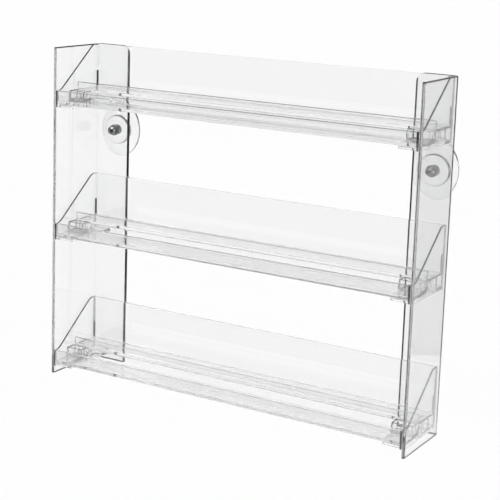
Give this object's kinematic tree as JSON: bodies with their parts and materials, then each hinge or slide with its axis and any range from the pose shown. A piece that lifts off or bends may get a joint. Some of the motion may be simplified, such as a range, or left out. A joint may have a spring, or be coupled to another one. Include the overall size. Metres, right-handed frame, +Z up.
{
  "type": "shelf rack",
  "caption": "Clear wall or table rack with shallow lipped shelves between flanged side panels, held to a wall by suction cups.",
  "frame": {"origin": "middle of the overall box, on the surface the rack stands on", "axes": "+X along the shelves to the viewer's right, +Y from the front lips to the wall behind, +Z up"},
  "size_m": [0.3576, 0.0768, 0.3],
  "materials": {
    "panel_acrylic": "polished clear acrylic sheet",
    "shelf_acrylic": "polished clear moulding",
    "end_cap_acrylic": "polished clear moulding",
    "soft_clear_vinyl": "soft clear vinyl, slightly satin",
    "bright_steel": "bright plated steel",
    "polished_cap_nut": "polished chrome plate"
  },
  "bodies": {
    "rack": {"top_shelf": "shelf_acrylic", "left_top_end_cap": "end_cap_acrylic", "right_top_end_cap": "end_cap_acrylic", "middle_shelf": "shelf_acrylic", "left_middle_end_cap": "end_cap_acrylic", "right_middle_end_cap": "end_cap_acrylic", "bottom_shelf": "shelf_acrylic", "left_bottom_end_cap": "end_cap_acrylic", "right_bottom_end_cap": "end_cap_acrylic", "left_side_panel": "panel_acrylic", "left_washer": "bright_steel", "right_side_panel": "panel_acrylic", "right_washer": "bright_steel"},
    "left_cup": {"left_suction_cup": "soft_clear_vinyl", "left_cup_stud": "bright_steel"},
    "left_jam_nut": {"left_jam_nut": "bright_steel"},
    "left_cap_nut": {"left_cap_nut": "polished_cap_nut"},
    "right_cup": {"right_suction_cup": "soft_clear_vinyl", "right_cup_stud": "bright_steel"},
    "right_jam_nut": {"right_jam_nut": "bright_steel"},
    "right_cap_nut": {"right_cap_nut": "polished_cap_nut"}
  },
  "joints": [
    {"name": "left_cup_turn", "type": "hinge", "parent": "rack", "child": "left_cup", "pos_m": [-0.158, 0, 0.221], "axis": [0, 1, 0], "continuous": true},
    {"name": "left_jam_nut_turn", "type": "hinge", "parent": "left_cup", "child": "left_jam_nut", "pos_m": [-0.158, 0, 0.221], "axis": [0, 1, 0], "continuous": true},
    {"name": "left_cap_nut_turn", "type": "hinge", "parent": "left_cup", "child": "left_cap_nut", "pos_m": [-0.158, 0, 0.221], "axis": [0, 1, 0], "continuous": true},
    {"name": "right_cup_turn", "type": "hinge", "parent": "rack", "child": "right_cup", "pos_m": [0.158, 0, 0.221], "axis": [0, 1, 0], "continuous": true},
    {"name": "right_jam_nut_turn", "type": "hinge", "parent": "right_cup", "child": "right_jam_nut", "pos_m": [0.158, 0, 0.221], "axis": [0, 1, 0], "continuous": true},
    {"name": "right_cap_nut_turn", "type": "hinge", "parent": "right_cup", "child": "right_cap_nut", "pos_m": [0.158, 0, 0.221], "axis": [0, 1, 0], "continuous": true}
  ]
}
